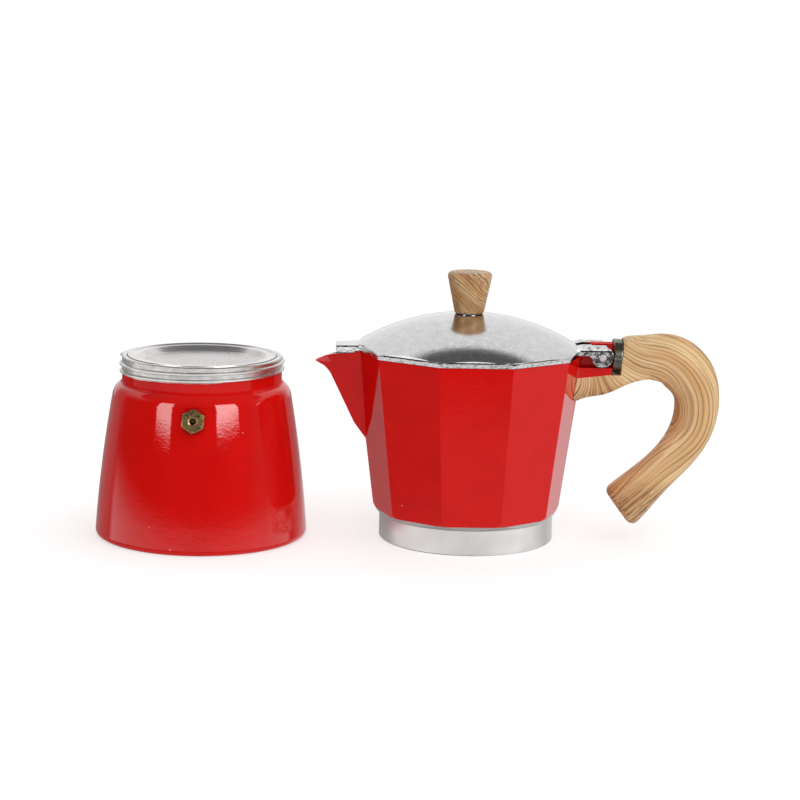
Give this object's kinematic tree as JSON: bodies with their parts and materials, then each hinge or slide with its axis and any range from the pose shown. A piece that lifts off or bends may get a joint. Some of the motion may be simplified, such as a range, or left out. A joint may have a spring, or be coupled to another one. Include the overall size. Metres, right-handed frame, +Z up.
{
  "type": "stove-top coffee pot",
  "caption": "Stove-top coffee pot unscrewed in two: threaded boiler with funnel, filter plate and safety valve, beside the faceted upper pot with beak, hinged lid and hooked handle.",
  "frame": {"origin": "centre of the boiler's flat foot, on the surface that both halves stand on", "axes": "+Z up along the boiler's axis; +X towards the upper pot, whose handle points to +X and beak to -X; the safety valve faces -Y"},
  "size_m": [0.2951, 0.1038, 0.1274],
  "materials": {
    "red_paint": "gloss red paint over cast aluminium",
    "bare_aluminium": "satin turned",
    "polished_aluminium": "polished casting",
    "grey_metal": "dark polished",
    "brass": "machined",
    "steel": "plain",
    "silicone": "matte",
    "dark_seal": "matte",
    "wood_grain": "satin, printed grain on moulded phenolic"
  },
  "bodies": {
    "boiler": {"boiler": "red_paint", "valve_body": "brass", "valve_washer": "dark_seal", "valve_retainer": "brass", "valve_spring": "steel"},
    "relief_poppet": {"valve_poppet": "brass"},
    "funnel": {"funnel": "bare_aluminium", "funnel_disc": "bare_aluminium"},
    "filter_plate": {"filter_plate": "bare_aluminium"},
    "upper_pot": {"chamber": "red_paint", "gasket": "silicone", "riser_column": "bare_aluminium", "lid_hinge_pin": "steel", "handle": "wood_grain", "handle_plate": "grey_metal", "handle_screw": "steel", "handle_washer": "steel"},
    "lid": {"lid": "polished_aluminium", "knob": "wood_grain", "knob_insert": "brass", "knob_screw": "steel", "knob_washer": "steel"}
  },
  "joints": [
    {"name": "upper_pot_lift", "type": "slide", "parent": "boiler", "child": "upper_pot", "axis": [0, 0, 1], "range_m": [0, 0.1]},
    {"name": "lid_hinge", "type": "hinge", "parent": "upper_pot", "child": "lid", "pos_m": [0.1875, 0, 0.089], "axis": [0, 1, 0], "range_deg": [0, 92]},
    {"name": "funnel_lift", "type": "slide", "parent": "boiler", "child": "funnel", "axis": [0, 0, 1], "range_m": [0, 0.09]},
    {"name": "filter_plate_lift", "type": "slide", "parent": "funnel", "child": "filter_plate", "axis": [0, 0, 1], "range_m": [0, 0.03]},
    {"name": "relief_poppet_slide", "type": "slide", "parent": "boiler", "child": "relief_poppet", "axis": [-0.0345, -0.9871, 0.1564], "range_m": [0, 0.0012], "stiffness_N_per_m": 400, "springref_m": -0.004, "deforming": ["valve_spring"]}
  ]
}
